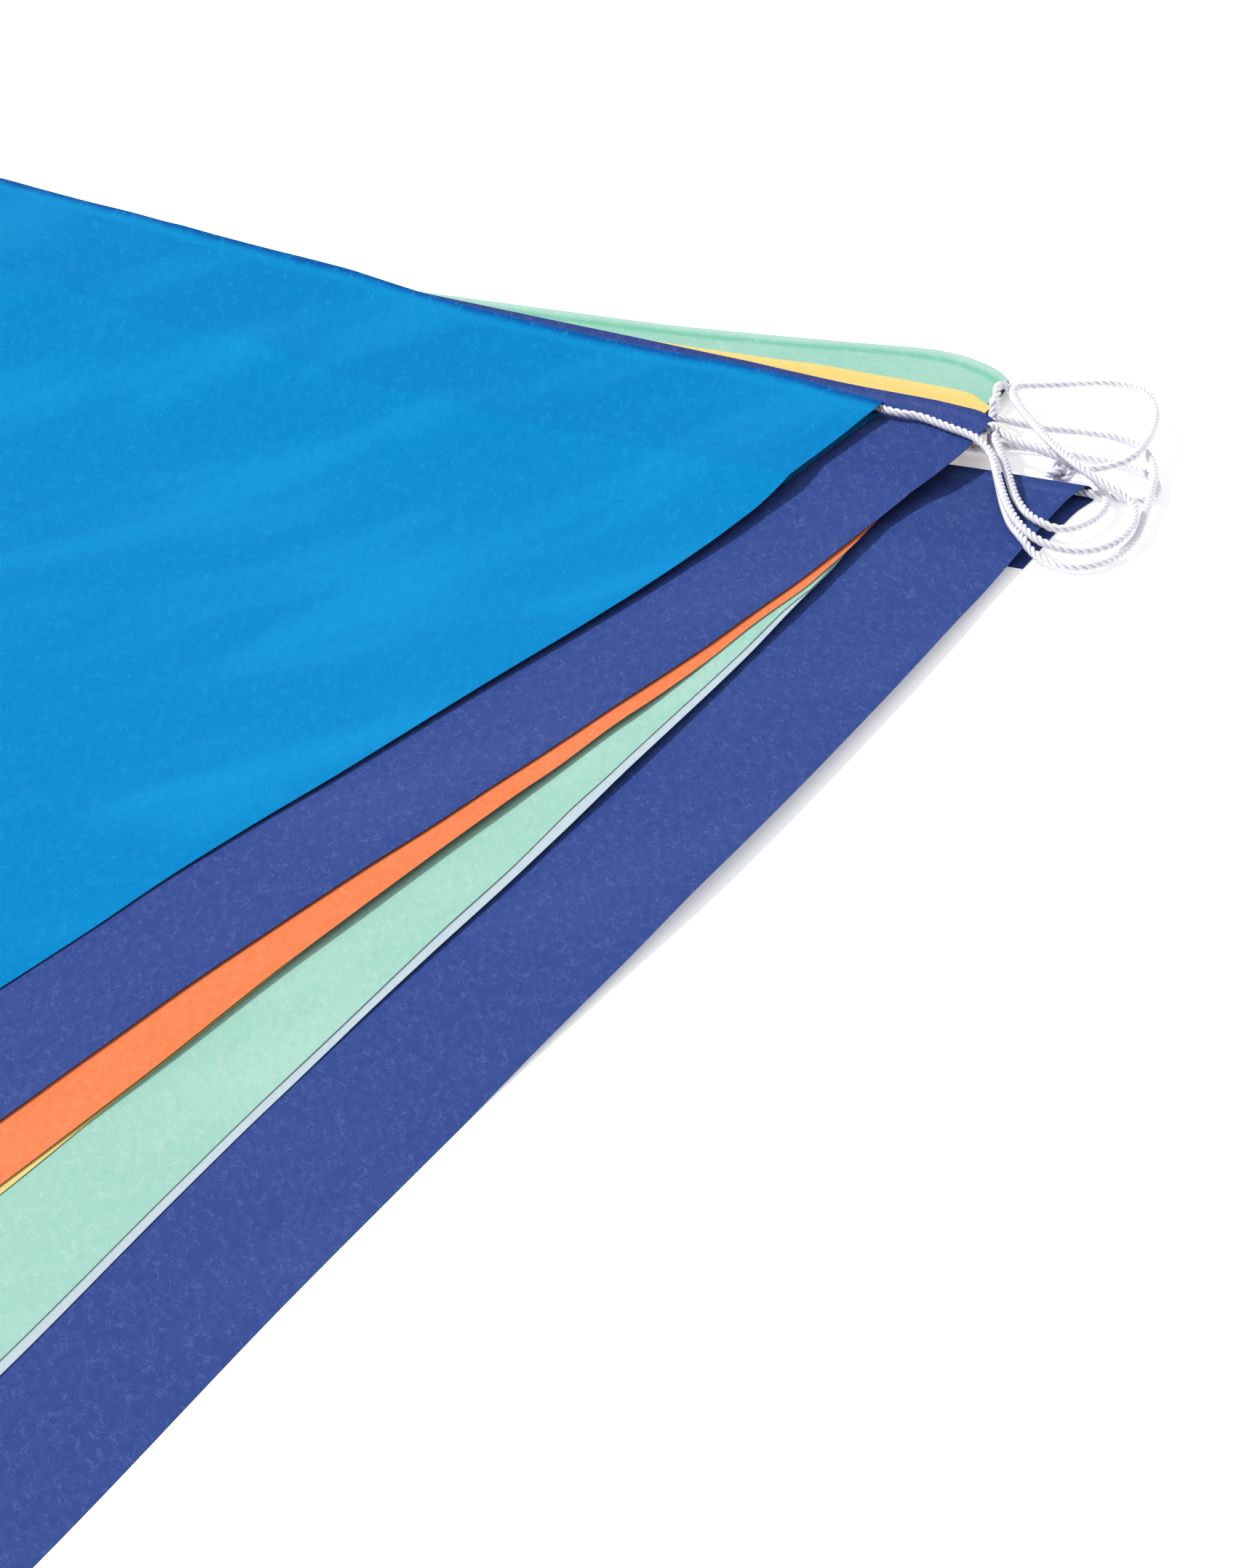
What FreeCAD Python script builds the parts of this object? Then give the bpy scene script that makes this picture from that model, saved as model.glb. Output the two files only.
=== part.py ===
import FreeCAD, Part
import math
import os

# A folded stack of tissue flags: seven sheets, each hemmed over one cord that runs through them all.
# The frame is the bottom flag's: +X along its hem, +Y towards the hem, +Z up, and the origin at the
# middle of its panel on the surface that the stack lies on. All sizes are in millimetres.

doc = FreeCAD.newDocument("flag_stack")
sheet = doc.addObject("Spreadsheet::Sheet", "sizes")
DRIVING_SIZES = [
    ("flag_width", 210.0),
    ("flag_drop", 297.0),
    ("hem_flap", 20.5),
    ("paper_thickness", 0.12),
    ("layer_gap", 0.10),
    ("fold_gap", 0.08),
    ("cord_diameter", 1.0),
    ("hem_play", 0.10),
    ("hem_fall", 6.0),
    ("drape_reach", 140.0),
    ("exit_run", 2.0),
    ("knot_diameter", 2.2),
]
for row, (alias, value) in enumerate(DRIVING_SIZES, start=1):
    cell = "B%d" % row
    sheet.set("A%d" % row, alias)
    sheet.set(cell, str(value))
    sheet.setAlias(cell, alias)
doc.recompute()

flag_width = sheet.flag_width
flag_drop = sheet.flag_drop
hem_flap = sheet.hem_flap
paper = sheet.paper_thickness
layer_gap = sheet.layer_gap
fold_gap = sheet.fold_gap
cord_diameter = sheet.cord_diameter
hem_fall = sheet.hem_fall
drape_reach = sheet.drape_reach
exit_run = sheet.exit_run
hem_radius = cord_diameter / 2 + sheet.hem_play + paper
corner_x = flag_width / 2
corner_y = flag_drop / 2
INWARD_STEP = 1.0
ALONG_STEP = 2.5
NEARBY_STEPS = 2
FOLD_MARGIN = 1.0

# Each flag from the bottom up: its name, how far the right end of its hem lies from the bottom
# flag's in X and Y, and its turn in degrees, clockwise from above where negative.
FLAGS = [
    ("flag_navy_bottom", 0.0, 0.0, 0.0),
    ("flag_pale_blue", -15.7, 8.0, 0.2),
    ("flag_mint", -17.0, 28.4, 0.0),
    ("flag_yellow", -15.0, 14.7, -4.0),
    ("flag_orange", -12.8, 5.8, -5.1),
    ("flag_navy_upper", -12.6, 8.6, -7.0),
    ("flag_blue", -23.1, 4.6, -9.2),
]


class Flag:
    """One hemmed sheet: where it lies, and the heights of its flap and panel inward of the hem."""

    def __init__(self, name, shift_x, shift_y, turn):
        self.name = name
        self.x = corner_x + shift_x
        self.y = corner_y + shift_y
        self.turn = turn
        self.cosine = math.cos(math.radians(turn))
        self.sine = math.sin(math.radians(turn))
        self.base = 0.0
        self.flap = []
        self.panel = []

    def point(self, along, inward, height):
        """The frame's point at a distance left of the hem's right end and inward of the hem."""
        return FreeCAD.Vector(self.x - along * self.cosine + inward * self.sine,
                              self.y - along * self.sine - inward * self.cosine, height)

    def top(self, x, y):
        """Height of the upper surface over a point of the frame, or the floor's beside the flag."""
        along = -(x - self.x) * self.cosine - (y - self.y) * self.sine
        inward = (x - self.x) * self.sine - (y - self.y) * self.cosine
        if not (-layer_gap <= along <= flag_width + layer_gap and -layer_gap <= inward <= flag_drop):
            return 0.0
        if inward <= hem_radius:
            return self.base + 2 * hem_radius
        return height_at(self.panel, inward) + paper

    def placement(self):
        rotation = FreeCAD.Rotation(FreeCAD.Vector(0, 0, 1), self.turn)
        return FreeCAD.Placement(FreeCAD.Vector(self.x, self.y, 0), rotation)


def height_at(line, inward):
    """Height of a line of (inward, height) points, level past its two ends."""
    if inward <= line[0][0]:
        return line[0][1]
    for (s0, z0), (s1, z1) in zip(line, line[1:]):
        if inward <= s1:
            return z0 + (z1 - z0) * (inward - s0) / (s1 - s0)
    return line[-1][1]


def taut(points):
    """The points of a sheet pulled tight over a row of heights: their upper hull."""
    hull = []
    for point in points:
        while len(hull) > 1:
            (s0, z0), (s1, z1) = hull[-2], hull[-1]
            if (z1 - z0) * (point[0] - s0) > (point[1] - z0) * (s1 - s0):
                break
            hull.pop()
        hull.append(point)
    return hull


def heights_below(flag, lower):
    """Highest surface under the flag at each step inward of its hem, over the hem's whole length."""
    rows = []
    for i in range(int(flag_drop / INWARD_STEP) + 1):
        inward = i * INWARD_STEP
        highest = 0.0
        for k in range(int(flag_width / ALONG_STEP) + 1):
            spot = flag.point(k * ALONG_STEP, inward, 0)
            highest = max([highest] + [other.top(spot.x, spot.y) for other in lower])
        rows.append(highest)
    clear = []
    for i in range(len(rows)):
        near = max(rows[max(0, i - NEARBY_STEPS):i + NEARBY_STEPS + 1])
        clear.append((i * INWARD_STEP, near + layer_gap if near else 0.0))
    return clear


def drape(flag, lower):
    """Lays a flag on those under it: the hem on what it crosses, the sheet taut over the rest."""
    below = heights_below(flag, lower)
    flag.base = max(z for s, z in below if s <= 2 * hem_radius + FOLD_MARGIN)
    flap_rests = [(s, z) for s, z in below if hem_radius + FOLD_MARGIN < s < hem_flap]
    flap_end = (hem_flap, height_at(below, hem_flap))
    flag.flap = taut([(hem_radius, flag.base)] + flap_rests + [flap_end])
    folded = paper + fold_gap
    over_flap = [(s, height_at(flag.flap, s) + folded) for s, z in below if hem_fall <= s < hem_flap]
    over_flap += [(hem_flap + folded, height_at(flag.flap, hem_flap) + folded)]
    beyond = [(s, z) for s, z in below if hem_flap + FOLD_MARGIN < s < drape_reach]
    hem_top = (hem_radius, flag.base + 2 * hem_radius - paper)
    sloping = [hem_top] + taut(over_flap + beyond + [(drape_reach, height_at(below, drape_reach))])
    flat = taut([sloping[-1]] + [(s, z) for s, z in below if s > drape_reach] + [(flag_drop, below[-1][1])])
    flag.panel = sloping + flat[1:]


def section_wire(flag):
    """The hemmed sheet's closed outline in the plane across its hem."""
    def spot(inward, height):
        return FreeCAD.Vector(0, -inward, height)

    def chain(line, lift):
        return [spot(s, z + lift) for s, z in line]

    middle = flag.base + hem_radius
    low, high = flag.base, flag.base + 2 * hem_radius
    under_flap = chain(flag.flap, 0)[::-1]
    over_panel = chain(flag.panel, paper)
    under_panel = chain(flag.panel, 0)[::-1]
    over_flap = chain(flag.flap, paper)
    edges = [Part.LineSegment(a, b).toShape() for a, b in zip(under_flap, under_flap[1:])]
    edges.append(Part.Arc(spot(hem_radius, low), spot(0, middle), spot(hem_radius, high)).toShape())
    edges += [Part.LineSegment(a, b).toShape() for a, b in zip(over_panel, over_panel[1:])]
    edges.append(Part.LineSegment(over_panel[-1], under_panel[0]).toShape())
    edges += [Part.LineSegment(a, b).toShape() for a, b in zip(under_panel, under_panel[1:])]
    inner = Part.Arc(spot(hem_radius, high - paper), spot(paper, middle), spot(hem_radius, low + paper))
    edges.append(inner.toShape())
    edges += [Part.LineSegment(a, b).toShape() for a, b in zip(over_flap, over_flap[1:])]
    edges.append(Part.LineSegment(over_flap[-1], under_flap[0]).toShape())
    return Part.Wire(edges)


def add_flag(flag):
    """The sheet, folded once over the cord, as its outline pulled along the hem."""
    outline = doc.addObject("Part::Feature", "outline_" + flag.name)
    outline.Shape = Part.Face(section_wire(flag))
    body = doc.addObject("Part::Extrusion", flag.name)
    body.Label = flag.name
    body.Base = outline
    body.DirMode = "Custom"
    body.Dir = FreeCAD.Vector(-1, 0, 0)
    body.Solid = True
    body.setExpression("LengthFwd", "sizes.flag_width")
    body.Placement = flag.placement()
    return body


def add_hem_cord(flag, number):
    """The stretch of cord inside one hem, from the hem's right end to its left."""
    body = doc.addObject("Part::Cylinder", "cord_in_hem_%d" % number)
    body.Label = body.Name
    body.setExpression("Radius", "sizes.cord_diameter / 2")
    body.setExpression("Height", "sizes.flag_width")
    along_hem = FreeCAD.Rotation(FreeCAD.Vector(0, 0, 1), flag.point(1, 0, 0).sub(flag.point(0, 0, 0)))
    start = flag.point(0, hem_radius, flag.base + hem_radius)
    body.Placement = FreeCAD.Placement(start, along_hem)
    return body


# The free stretches of the cord, as points measured from the right end of the bottom flag's hem.
# Each runs from the first flag's hem end to the second's, or from one hem end to the cord's own end.
RIGHT_LOOPS = {
    "cord_loop_right_1": ("flag_pale_blue", "flag_navy_bottom", [
        (-12.0, 8.6, 0.8), (-8.2, 9.0, 0.65), (-3.8, 9.0, 0.6), (0.6, 8.6, 0.6), (4.4, 6.6, 0.6),
        (6.4, 3.0, 0.6), (5.8, -0.6, 0.6)]),
    "cord_loop_right_2": ("flag_yellow", "flag_mint", [
        (-13.8, 11.9, 2.4), (-11.2, 11.3, 2.2), (-8.3, 11.8, 2.0), (-4.6, 12.4, 1.9), (-0.7, 12.3, 1.9),
        (2.6, 10.1, 1.85), (5.1, 5.4, 1.8), (6.6, -0.3, 1.75), (7.9, -6.3, 1.3), (8.8, -11.3, 0.9),
        (8.2, -15.9, 0.7), (6.4, -19.3, 0.7), (3.4, -19.8, 0.8), (0.2, -18.3, 1.1), (-2.8, -14.7, 1.4),
        (-5.3, -10.1, 1.7), (-7.7, -4.9, 1.9), (-10.3, 0.6, 2.0), (-12.9, 6.7, 1.9), (-15.0, 13.0, 1.4),
        (-16.7, 18.7, 0.9), (-17.7, 21.6, 0.75)]),
    "cord_loop_right_3": ("flag_navy_upper", "flag_orange", [
        (-11.9, 4.5, 4.7), (-9.7, 1.0, 4.3), (-7.0, -4.1, 3.8), (-4.5, -8.9, 3.2), (-1.4, -12.3, 2.4),
        (1.7, -13.0, 1.9), (3.3, -10.0, 1.5), (3.7, -6.0, 1.5), (2.9, -2.5, 1.8), (0.7, 0.3, 2.6),
        (-2.4, 2.0, 3.2), (-5.9, 3.1, 3.5), (-9.4, 4.1, 3.5)]),
}
LEFT_LOOPS = {
    "cord_loop_left_1": ("flag_mint", "flag_pale_blue", [
        (-232.0, 27.2, 0.65), (-236.6, 25.0, 0.6), (-239.2, 20.6, 0.6), (-239.6, 15.6, 0.6),
        (-237.0, 11.0, 0.6), (-232.4, 7.2, 0.6)]),
    "cord_loop_left_2": ("flag_orange", "flag_yellow", [
        (-228.2, 23.8, 3.3), (-232.6, 23.4, 3.2), (-236.8, 25.2, 3.0), (-238.4, 29.0, 2.9),
        (-235.6, 32.0, 2.8), (-231.2, 31.6, 2.7)]),
    "cord_loop_left_3": ("flag_blue", "flag_navy_upper", [
        (-236.6, 38.0, 6.2), (-240.8, 36.6, 5.5), (-242.4, 32.6, 4.9), (-239.8, 29.4, 4.7),
        (-235.4, 29.6, 4.8), (-231.2, 31.8, 4.9), (-227.0, 33.4, 5.0)]),
}
TAILS = {
    "cord_tail_right": ("flag_blue", "right", [
        (-19.6, 3.7, 6.3), (-15.8, 2.1, 6.1), (-12.6, 0.9, 5.8), (-9.9, -1.4, 5.4), (-7.7, -5.8, 5.0),
        (-5.1, -10.8, 4.3), (-2.4, -14.9, 3.5), (0.6, -17.4, 2.7), (3.7, -17.8, 2.0), (6.5, -16.5, 1.6),
        (8.1, -13.1, 1.8), (8.0, -8.5, 2.2), (6.5, -5.5, 3.0), (3.6, -4.3, 3.9), (0.1, -2.8, 4.9),
        (-4.0, 1.2, 5.4), (-8.1, 6.5, 5.3), (-11.8, 12.1, 4.8), (-14.4, 16.7, 4.0), (-14.8, 19.7, 3.4),
        (-12.5, 20.6, 3.2), (-9.3, 22.2, 3.2), (-5.6, 24.1, 3.2), (-1.9, 22.7, 3.2), (1.2, 17.3, 3.1),
        (2.7, 10.7, 3.0), (2.6, 5.3, 2.6), (0.5, 3.6, 2.0), (-2.0, 3.2, 1.6), (-3.7, 2.0, 1.4)]),
    "cord_tail_left": ("flag_navy_bottom", "left", [
        (-218.0, -0.9, 0.7), (-226.0, -1.2, 0.6), (-233.0, -3.4, 0.6), (-238.4, -8.0, 0.6),
        (-240.6, -14.6, 0.6), (-239.4, -21.4, 1.1)]),
}


ARC_SHARE = 0.45


def cord_path(points):
    """Straight runs through the points, rounded at each by the largest arc that its runs allow."""
    vectors = [FreeCAD.Vector(*point) for point in points]
    edges = []
    radii = []
    start = vectors[0]
    for before, corner, after in zip(vectors, vectors[1:], vectors[2:]):
        back = before.sub(corner)
        onward = after.sub(corner)
        reach = ARC_SHARE * min(back.Length, onward.Length)
        back.normalize()
        onward.normalize()
        half_turn = (math.pi - back.getAngle(onward)) / 2
        radius = reach / math.tan(half_turn)
        inside = back.add(onward).normalize()
        middle = corner.add(inside.multiply(radius / math.cos(half_turn) - radius))
        arc_start = corner.add(back.multiply(reach))
        arc_end = corner.add(onward.multiply(reach))
        edges.append(Part.LineSegment(start, arc_start).toShape())
        edges.append(Part.Arc(arc_start, middle, arc_end).toShape())
        radii.append(radius)
        start = arc_end
    edges.append(Part.LineSegment(start, vectors[-1]).toShape())
    return Part.Wire(edges), radii


def add_cord(name, points):
    """A free stretch of the cord: a round tube along its path."""
    path, radii = cord_path(points)
    direction = path.Edges[0].tangentAt(path.Edges[0].FirstParameter)
    ring = Part.Wire([Part.makeCircle(cord_diameter / 2, FreeCAD.Vector(*points[0]), direction)])
    body = doc.addObject("Part::Feature", name)
    body.Label = name
    body.Shape = path.makePipeShell([ring], True, False)
    expected = math.pi * cord_diameter ** 2 / 4 * path.Length
    print("%s length %.1f volume %.4f of expected, radii %.1f to %.1f"
          % (name, path.Length, body.Shape.Volume / expected, min(radii), max(radii)))
    return body


def hem_exit(flag, side):
    """Where the cord leaves a hem at its right or left end, and a point straight out from there."""
    end, outside = (0.0, -exit_run) if side == "right" else (flag_width, flag_width + exit_run)
    middle = flag.base + hem_radius
    return [tuple(flag.point(along, hem_radius, middle)) for along in (end, outside)]


def placed(points):
    """A cord's points, moved from the bottom flag's hem end to the frame."""
    return [(corner_x + x, corner_y + y, z) for x, y, z in points]


def add_knot(name, centre):
    """The stopper knot at a free end of the cord."""
    body = doc.addObject("Part::Sphere", name)
    body.Label = name
    body.setExpression("Radius", "sizes.knot_diameter / 2")
    body.Placement = FreeCAD.Placement(FreeCAD.Vector(*centre), FreeCAD.Rotation())
    return body


flags = []
flag_named = {}
for name, shift_x, shift_y, turn in FLAGS:
    flag = Flag(name, shift_x, shift_y, turn)
    drape(flag, flags)
    flags.append(flag)
    flag_named[name] = flag

bodies = [add_flag(flag) for flag in flags]
bodies += [add_hem_cord(flag, number) for number, flag in enumerate(flags, start=1)]
for loops, side in ((RIGHT_LOOPS, "right"), (LEFT_LOOPS, "left")):
    for name, (first, last, points) in loops.items():
        route = hem_exit(flag_named[first], side) + placed(points) + hem_exit(flag_named[last], side)[::-1]
        bodies.append(add_cord(name, route))
for name, (first, side, points) in TAILS.items():
    route = hem_exit(flag_named[first], side) + placed(points)
    last_run = FreeCAD.Vector(*route[-1]).sub(FreeCAD.Vector(*route[-2])).normalize()
    knot_centre = FreeCAD.Vector(*route[-1])
    route[-1] = tuple(knot_centre.sub(last_run.multiply(sheet.knot_diameter / 2)))
    bodies.append(add_cord(name, route))
    bodies.append(add_knot("knot_" + side, knot_centre))

doc.recompute()
for item in doc.Objects:
    if "Invalid" in item.State or "Error" in item.State:
        raise RuntimeError("%s did not build" % item.Name)
for item in bodies:
    if item.Shape.isNull() or not item.Shape.isValid() or len(item.Shape.Solids) != 1:
        raise RuntimeError("%s is not one valid solid" % item.Label)

os.makedirs("parts", exist_ok=True)
for item in bodies:
    item.Shape.exportStep("parts/%s.step" % item.Label)
for flag in flags:
    print("%s hem on %.2f, panel %s" % (flag.name, flag.base, [(round(s), round(z, 2)) for s, z in flag.panel]))
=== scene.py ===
import math

import bpy
import numpy as np
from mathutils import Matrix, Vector


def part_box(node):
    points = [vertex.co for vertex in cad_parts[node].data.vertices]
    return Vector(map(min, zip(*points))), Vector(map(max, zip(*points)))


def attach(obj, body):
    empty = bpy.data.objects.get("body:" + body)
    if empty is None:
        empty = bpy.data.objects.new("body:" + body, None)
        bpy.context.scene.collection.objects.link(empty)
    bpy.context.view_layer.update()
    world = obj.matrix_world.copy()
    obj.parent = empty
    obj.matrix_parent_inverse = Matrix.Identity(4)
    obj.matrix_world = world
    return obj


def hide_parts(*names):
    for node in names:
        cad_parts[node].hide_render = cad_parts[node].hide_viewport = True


# A fanned stack of seven tissue flags, each hemmed over the one white cord that runs through them.
# Sizes of the sheets and the cord are in millimetres here, and become metres where a mesh is made.

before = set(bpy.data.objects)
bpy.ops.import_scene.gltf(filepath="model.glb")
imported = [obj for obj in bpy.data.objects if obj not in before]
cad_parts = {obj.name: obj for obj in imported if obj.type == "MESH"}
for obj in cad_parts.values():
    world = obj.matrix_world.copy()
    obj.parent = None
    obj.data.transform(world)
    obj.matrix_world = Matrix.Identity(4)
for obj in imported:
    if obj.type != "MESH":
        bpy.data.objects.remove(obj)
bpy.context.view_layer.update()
MM = 0.001


def node_box(node):
    """Lowest and highest corner of a node, in millimetres."""
    low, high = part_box(node)
    return low / MM, high / MM


bottom_low, bottom_high = node_box("flag_navy_bottom")
FLAG_WIDTH = bottom_high.x - bottom_low.x
FLAG_DROP = bottom_high.y - bottom_low.y
HEM_RADIUS = (bottom_high.z - bottom_low.z) / 2
CORD_DIAMETER = (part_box("cord_in_hem_1")[1].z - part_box("cord_in_hem_1")[0].z) / MM
CORNER = (bottom_high.x, bottom_high.y)
HEM_FLAP = 20.5
PAPER = 0.06
LAYER_GAP = 0.08
FOLD_GAP = 0.03

# The grid that each sheet settles on, and the rows and columns of its mesh.
ALONG_STEP = 2.0
INWARD_STEP = 1.5
COARSE_FROM = 60.0
NEAR_COLUMNS = np.array([0, 0.5, 1.0, 1.6, 2.3, 3.1, 4.0, 5.0, 6.4, 8.0])
HEM_ARC_STEPS = 8
HEM_PLACES = 5
SMOOTH_ANGLE = 50

# How much a panel and a hem sag at each step between what holds them up, and how many steps they take.
SAG = 0.0035
HEM_SAG = 0.0010
SETTLING_STEPS = 900
HEM_STEPS = 12000

# How far a hem's bow and an edge's bend fade into the sheet, and how close to a flag still counts as on it.
BOW_REACH = 110.0
EDGE_REACH = 45.0
EDGE_MARGIN = 0.3
PANEL_MARGIN = 0.75
PLACING_ROUNDS = 4
CREASE_END = 0.04

# The cord: its strands, the steps along its line in a hem and outside, and how a free stretch is laid.
STRANDS = 3
STRAND_SIDES = 8
STRAND_REACH = 0.22
STRAND_RADIUS = 0.245
TWIST_LENGTH = 2.5
HEM_CORD_STEP = 1.5
HEM_STRAND_STEP = 0.5
FREE_STRAND_STEP = 0.25
ROUTE_STEP = 0.5
ROUTE_RESOLUTION = 10
EXIT_RUN = 2.0
LAYING_ROUNDS = 6
LAYING_REACH = 6
LAYING_FADE = 2.5
LAYING_END = 0.8
LAYING_SHARE = 0.5
LAYING_KERNEL = np.hanning(2 * LAYING_REACH + 3)[1:-1]
LAYING_KERNEL = LAYING_KERNEL / LAYING_KERNEL.sum()

# The knot at each free end.
KNOT_POINTS = 90
KNOT_OPENING = 4
KNOT_SIZE = 0.85
KNOT_FULLNESS = 0.45
KNOT_DEPTH = 0.55
KNOT_STEP = 0.2

# The picture: camera, light and floor. Angles are in degrees, but SUN_OFFSET is in radians.
CAMERA_AZIMUTH = 23.05
CAMERA_ELEVATION = 24.0
CAMERA_DISTANCE = 629.7
CAMERA_TARGET = (90.2, 66.3, 0.0)
CAMERA_LENS = 160.3
CAMERA_CLIP = 0.01
SUN_ENERGY = 3.1
SUN_SPREAD = 6
SUN_OFFSET = 0.12
SUN_HEIGHT = 50.5
SKY_STRENGTH = 0.78
FLOOR_SIZE = 12.0
FLOOR_GREY = 0.93
FLOOR_GLOW = 0.26

# Each flag from the bottom up: its node and its turn in degrees. bow is how far the hem lies further
# out, at distances left of its right end. edge is how far the right edge lies further right, and lift
# how high it curls over what is below, at distances inward of the hem. slip is how far the flap shows
# past the edge, and creases are soft ridges: start, end, width and height.
FLAGS = [
    dict(node="flag_navy_bottom", turn=0.0,
         bow=[(0, 0.1), (10, 0.3), (25, 0), (210, 0)],
         edge=[(0, 0), (5, -0.7), (20, -0.4), (60, 0.6), (83, 0.8), (93, 0.75), (112, 0.45), (130, 0),
               (147, -0.3), (180, -0.45), (225, 0.15), (297, 0.2)],
         lift=[(0, 0.1), (16, 0.2), (26, 0.8), (40, 1.2), (60, 1.25), (100, 1.3), (120, 0.75), (135, 0.4),
               (152, 0), (297, 0)],
         reach=34, slip=0.8, creases=[((13, 24), (11, 4), 5.0, 1.6)]),
    dict(node="flag_pale_blue", turn=0.2,
         bow=[(0, -0.6), (4, 0), (210, 0)],
         edge=[(0, 0), (30, 0.1), (40, 0.55), (50, 0.75), (73, 0.95), (94, 0.85), (104, 0.75), (113, 0.6),
               (130, -0.2), (146, -0.75), (163, -1.05), (179, -0.9), (210, -0.3), (297, 0)],
         lift=[(0, 0), (25, 0.6), (48, 0.75), (62, 0.45), (90, 0.6), (105, 0.35), (130, 0.2), (160, 0),
               (297, 0)],
         reach=12, slip=-0.4, creases=[]),
    dict(node="flag_mint", turn=0.0,
         bow=[(0, -3.4), (1.8, -1.4), (3.4, -0.2), (4.9, 0.6), (6.4, 1.3), (8, 1.7), (10.5, 2.0),
              (13, 1.7), (17, 1.0), (22, 0.2), (31, -1.1), (40, -2.1), (55, -2.6), (65, -2.9), (120, -4),
              (210, -5)],
         edge=[(0, -0.5), (56, 1.8), (63, 2.1), (69, 1.7), (90, 1.6), (112, 1.5), (121, 1.2), (131, 1.3),
               (148, 0.6), (165, 0.25), (181, -0.1), (198, 0.1), (228, 0.7), (297, 1.0)],
         lift=[(0, 0), (297, 0)],
         reach=12, slip=-0.4, creases=[]),
    dict(node="flag_yellow", turn=-4.0,
         bow=[(0, -1.3), (2, 0.2), (3.3, 1.2), (5, 1.6), (15, 1.8), (20, 1.9), (25, 1.4), (29, 1.0),
              (34, 0.65), (40, 0.35), (50, 0.4), (100, -1), (210, -3)],
         edge=[(0, 0), (60, -0.3), (170, -1.0), (192, -0.6), (297, 0)],
         lift=[(0, 0), (297, 0)],
         reach=12, slip=-0.3, creases=[]),
    dict(node="flag_orange", turn=-5.1,
         bow=[(0, 0.2), (60, 0.4), (210, 0.4)],
         edge=[(0, -0.8), (18, -0.5), (24, -0.1), (32, 0.6), (38, 0.9), (44, 1.25), (56, 0.9), (66, 1.1),
               (75, 1.15), (83, 0.9), (91, 0.9), (98, 0.6), (113, 0.1), (127, -0.4), (141, -0.75),
               (155, -0.7), (182, -0.6), (297, 0)],
         lift=[(0, 0), (60, 0.03), (70, 0.2), (80, 0.45), (90, 0.42), (102, 0.62), (125, 0.5), (150, 0.28),
               (175, 0.1), (200, 0), (297, 0)],
         reach=12, slip=-0.2, creases=[]),
    dict(node="flag_navy_upper", turn=-7.0,
         bow=[(0, -1.6), (1.2, -0.7), (2.7, 0.1), (4.5, 0.3), (8, 0.6), (12, 0.5), (17, 0.35), (25, 0.65),
              (30, 0.9), (80, 1.0), (210, -2)],
         edge=[(0, 0.4), (10, 1.4), (19, 1.45), (28, 1.3), (36, 1.4), (47, 1.8), (64, 1.7), (80, 1.8),
               (96, 1.5), (110, 1.1), (123, 0.2), (136, -0.5), (150, -0.95), (162, -0.95), (175, -0.7),
               (297, 0)],
         lift=[(0, 0), (30, 0.1), (180, 0.12), (297, 0.05)],
         reach=12, slip=-0.3, creases=[((24, 9.7), (2, 9.7), 0.7, 0.14)]),
    dict(node="flag_blue", turn=-9.2,
         bow=[(0, -0.6), (1.4, -0.35), (6, 0), (12, 0.7), (18, 0.8), (23, 0.5), (30, -0.1), (38, -0.1),
              (49, 0.15), (55, 0.6), (61, 1.4), (67, 2.3), (79, 3.0), (91, 4.2), (98, 5.7), (105, 6.9),
              (112, 8.3), (120, 9.8), (135, 10.6), (160, 9.6), (185, 7.6), (210, 5.5)],
         edge=[(0, 0), (4, 0), (12, 0.2), (22, 0.95), (30, 1.35), (39, 1.52), (47, 1.62), (57, 1.4),
               (70, 1.2), (84, 1.1), (98, 1.0), (111, 0.55), (124, 0.3), (137, 0.7), (150, 0.95), (297, 3)],
         lift=[(0, 0.2), (20, 1.0), (30, 0.95), (36, 0.8), (52, 0.6), (82, 0.4), (110, 0.22), (140, 0.05),
               (297, 0)],
         reach=12, slip=-0.6,
         creases=[((97, 36), (87, 4), 4.0, 0.9), ((63, 44), (67, 4), 5.5, 0.9),
                  ((102, 16), (93, 4), 2.6, 0.4), ((49, 20), (53, 7), 2.5, 0.35),
                  ((46, 15), (34, 27), 2.8, 0.25), ((118, 46), (108, 10), 4.5, 0.8)]),
]


def curve_through(points, at):
    """A smooth line through (place, value) points that never swings past them, read at some places."""
    places, values = np.array(points, float).T
    spans = np.diff(places)
    rises = np.diff(values) / spans
    slopes = np.concatenate([rises[:1], np.zeros(len(rises) - 1), rises[-1:]])
    for k in range(1, len(rises)):
        if rises[k - 1] * rises[k] > 0:
            slopes[k] = 2 * rises[k - 1] * rises[k] / (rises[k - 1] + rises[k])
    at = np.clip(at, places[0], places[-1])
    i = np.clip(np.searchsorted(places, at, side="right") - 1, 0, len(places) - 2)
    span = spans[i]
    t = (at - places[i]) / span
    return ((2 * t ** 3 - 3 * t ** 2 + 1) * values[i] + (t ** 3 - 2 * t ** 2 + t) * span * slopes[i]
            + (3 * t ** 2 - 2 * t ** 3) * values[i + 1] + (t ** 3 - t ** 2) * span * slopes[i + 1])


def settle(support, top_row):
    """A limp sheet over its support: it sags between what holds it up, from its fixed first row."""
    height = support.copy()
    height[:, 0] = top_row
    for _ in range(SETTLING_STEPS):
        ring = np.pad(height, 1, mode="edge")
        mean = (ring[2:, 1:-1] + ring[:-2, 1:-1] + ring[1:-1, 2:] + ring[1:-1, :-2]) / 4
        height = np.maximum(support, mean - SAG)
        height[:, 0] = top_row
    return height


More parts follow.
